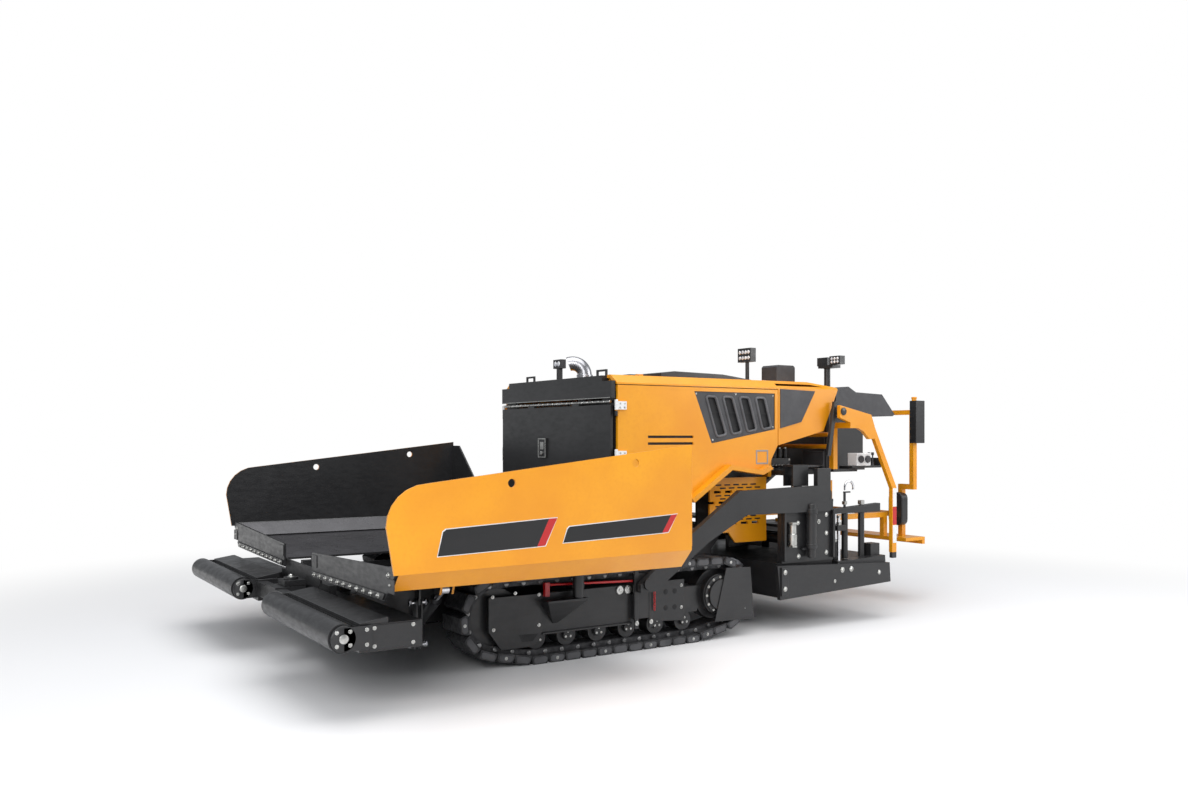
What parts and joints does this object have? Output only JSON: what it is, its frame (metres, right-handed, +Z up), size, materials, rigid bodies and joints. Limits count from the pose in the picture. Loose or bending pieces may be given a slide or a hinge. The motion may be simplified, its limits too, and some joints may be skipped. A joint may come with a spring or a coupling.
{
  "type": "asphalt paver",
  "caption": "Small tracked asphalt paver with folding hopper wings, push rollers, conveyor, augers, an engine hood with doors and a lifting, extending rear screed.",
  "frame": {"origin": "middle of the machine's box on the ground", "axes": "+X forward towards the push rollers, +Y to the machine's left, +Z up"},
  "size_m": [4.996, 3.022, 1.91],
  "materials": {
    "yellow_paint": "gloss",
    "black_paint": "satin",
    "grey_plastic": "matte",
    "track_steel": "matte",
    "chrome": "polished",
    "bare_steel": "worn"
  },
  "bodies": {
    "tractor": {"chassis": "black_paint", "engine": "bare_steel", "hood_shell": "yellow_paint", "hood_rear": "yellow_paint", "front_panel": "black_paint", "exhaust": "chrome", "lamp_hood": "black_paint", "lamp_mast": "black_paint", "side_panel_left": "yellow_paint", "side_panel_right": "yellow_paint", "track_frame_left": "black_paint", "track_frame_right": "black_paint", "track_left": "track_steel", "track_right": "track_steel", "conveyor": "bare_steel", "rear_frame": "black_paint", "console_base": "black_paint", "guard_left": "yellow_paint", "guard_right": "yellow_paint"},
    "front_door": {"front_door": "black_paint"},
    "front_lid": {"front_lid": "black_paint", "lamp_front": "black_paint"},
    "hood_door_left": {"hood_door_left": "yellow_paint", "vent_left": "grey_plastic"},
    "hood_door_right": {"hood_door_right": "yellow_paint", "vent_right": "grey_plastic"},
    "console_cover": {"console_cover": "grey_plastic"},
    "push_beam": {"push_beam": "black_paint"},
    "push_roller_left": {"push_roller_left": "black_paint"},
    "push_roller_right": {"push_roller_right": "black_paint"},
    "hopper_left": {"wing_left": "yellow_paint", "flap_left": "black_paint"},
    "hopper_right": {"wing_right": "yellow_paint", "flap_right": "black_paint"},
    "hopper_barrel_left": {"hopper_barrel_left": "black_paint"},
    "hopper_barrel_right": {"hopper_barrel_right": "black_paint"},
    "hopper_rod_left": {"hopper_rod_left": "chrome"},
    "hopper_rod_right": {"hopper_rod_right": "chrome"},
    "screed": {"tow_arm_left": "black_paint", "tow_arm_right": "black_paint", "screed_main": "black_paint", "rear_step": "yellow_paint"},
    "screed_ext_left": {"screed_ext_left": "black_paint", "end_gate_left": "black_paint"},
    "screed_ext_right": {"screed_ext_right": "black_paint", "end_gate_right": "black_paint"},
    "auger_left": {"auger_left": "bare_steel"},
    "auger_right": {"auger_right": "bare_steel"},
    "lift_barrel_left": {"lift_barrel_left": "black_paint"},
    "lift_barrel_right": {"lift_barrel_right": "black_paint"},
    "lift_rod_left": {"lift_rod_left": "chrome"},
    "lift_rod_right": {"lift_rod_right": "chrome"}
  },
  "joints": [
    {"name": "push_beam_swing", "type": "hinge", "parent": "tractor", "child": "push_beam", "pos_m": [2.245, 0, 0.38], "axis": [0, 0, 1], "range_deg": [-5, 5]},
    {"name": "push_roller_left_spin", "type": "hinge", "parent": "push_beam", "child": "push_roller_left", "pos_m": [2.432, 0.88, 0.38], "axis": [0, 1, 0], "continuous": true},
    {"name": "hopper_left_fold", "type": "hinge", "parent": "tractor", "child": "hopper_left", "pos_m": [1.3, 0.33, 0.5], "axis": [1, 0, 0], "range_deg": [0, 60]},
    {"name": "hopper_barrel_left_pivot", "type": "hinge", "parent": "tractor", "child": "hopper_barrel_left", "pos_m": [1.75, 0.532, 0.18], "axis": [1, 0, 0], "range_deg": [0, 48]},
    {"name": "hopper_rod_left_slide", "type": "slide", "parent": "hopper_barrel_left", "child": "hopper_rod_left", "axis": [0, 0.8337, 0.5522], "range_m": [0, 0.35]},
    {"name": "push_roller_right_spin", "type": "hinge", "parent": "push_beam", "child": "push_roller_right", "pos_m": [2.432, -0.88, 0.38], "axis": [0, 1, 0], "continuous": true},
    {"name": "hopper_right_fold", "type": "hinge", "parent": "tractor", "child": "hopper_right", "pos_m": [1.3, -0.33, 0.5], "axis": [-1, 0, 0], "range_deg": [0, 60]},
    {"name": "hopper_barrel_right_pivot", "type": "hinge", "parent": "tractor", "child": "hopper_barrel_right", "pos_m": [1.75, -0.532, 0.18], "axis": [-1, 0, 0], "range_deg": [0, 48]},
    {"name": "hopper_rod_right_slide", "type": "slide", "parent": "hopper_barrel_right", "child": "hopper_rod_right", "axis": [0, -0.8337, 0.5522], "range_m": [0, 0.35]},
    {"name": "screed_lift", "type": "hinge", "parent": "tractor", "child": "screed", "pos_m": [0.4, 0, 0.4], "axis": [0, -1, 0], "range_deg": [0, 6.5]},
    {"name": "lift_barrel_left_pivot", "type": "hinge", "parent": "tractor", "child": "lift_barrel_left", "pos_m": [-0.91, 0.791, 0.98], "axis": [0, 1, 0], "range_deg": [0, 1]},
    {"name": "lift_rod_left_slide", "type": "slide", "parent": "lift_barrel_left", "child": "lift_rod_left", "axis": [0, 0, -1], "range_m": [0, 0.16]},
    {"name": "screed_extend_left", "type": "slide", "parent": "screed", "child": "screed_ext_left", "axis": [0, 1, 0], "range_m": [0, 0.6]},
    {"name": "auger_left_spin", "type": "hinge", "parent": "tractor", "child": "auger_left", "pos_m": [-0.545, 0.3, 0.345], "axis": [0, 1, 0], "continuous": true},
    {"name": "hood_door_left_swing", "type": "hinge", "parent": "tractor", "child": "hood_door_left", "pos_m": [0.5, 0.728, 1.2], "axis": [0, 0, 1], "range_deg": [-75, 0]},
    {"name": "lift_barrel_right_pivot", "type": "hinge", "parent": "tractor", "child": "lift_barrel_right", "pos_m": [-0.91, -0.791, 0.98], "axis": [0, 1, 0], "range_deg": [0, 1]},
    {"name": "lift_rod_right_slide", "type": "slide", "parent": "lift_barrel_right", "child": "lift_rod_right", "axis": [0, 0, -1], "range_m": [0, 0.16]},
    {"name": "screed_extend_right", "type": "slide", "parent": "screed", "child": "screed_ext_right", "axis": [0, -1, 0], "range_m": [0, 0.6]},
    {"name": "auger_right_spin", "type": "hinge", "parent": "tractor", "child": "auger_right", "pos_m": [-0.545, -0.3, 0.345], "axis": [0, 1, 0], "continuous": true},
    {"name": "hood_door_right_swing", "type": "hinge", "parent": "tractor", "child": "hood_door_right", "pos_m": [0.5, -0.728, 1.2], "axis": [0, 0, -1], "range_deg": [-75, 0]},
    {"name": "front_door_lift", "type": "hinge", "parent": "tractor", "child": "front_door", "pos_m": [0.509, 0, 1.484], "axis": [0, 1, 0], "range_deg": [-75, 0]},
    {"name": "front_lid_lift", "type": "hinge", "parent": "tractor", "child": "front_lid", "pos_m": [0.18, 0, 1.66], "axis": [0, 1, 0], "range_deg": [-70, 0]},
    {"name": "console_cover_lift", "type": "hinge", "parent": "tractor", "child": "console_cover", "pos_m": [-1.62, 0, 1.406], "axis": [0, -1, 0], "range_deg": [-70, 0]}
  ],
  "couplings": [
    {"joint": "hopper_barrel_left_pivot", "follows": "hopper_left_fold", "ratio": 0.7917},
    {"joint": "hopper_rod_left_slide", "follows": "hopper_left_fold", "m_per_rad": 0.3295},
    {"joint": "hopper_barrel_right_pivot", "follows": "hopper_right_fold", "ratio": 0.7917},
    {"joint": "hopper_rod_right_slide", "follows": "hopper_right_fold", "m_per_rad": 0.3295},
    {"joint": "lift_barrel_left_pivot", "follows": "screed_lift", "ratio": 0.057},
    {"joint": "lift_rod_left_slide", "follows": "screed_lift", "m_per_rad": 1.313},
    {"joint": "lift_barrel_right_pivot", "follows": "screed_lift", "ratio": 0.057},
    {"joint": "lift_rod_right_slide", "follows": "screed_lift", "m_per_rad": 1.313}
  ]
}
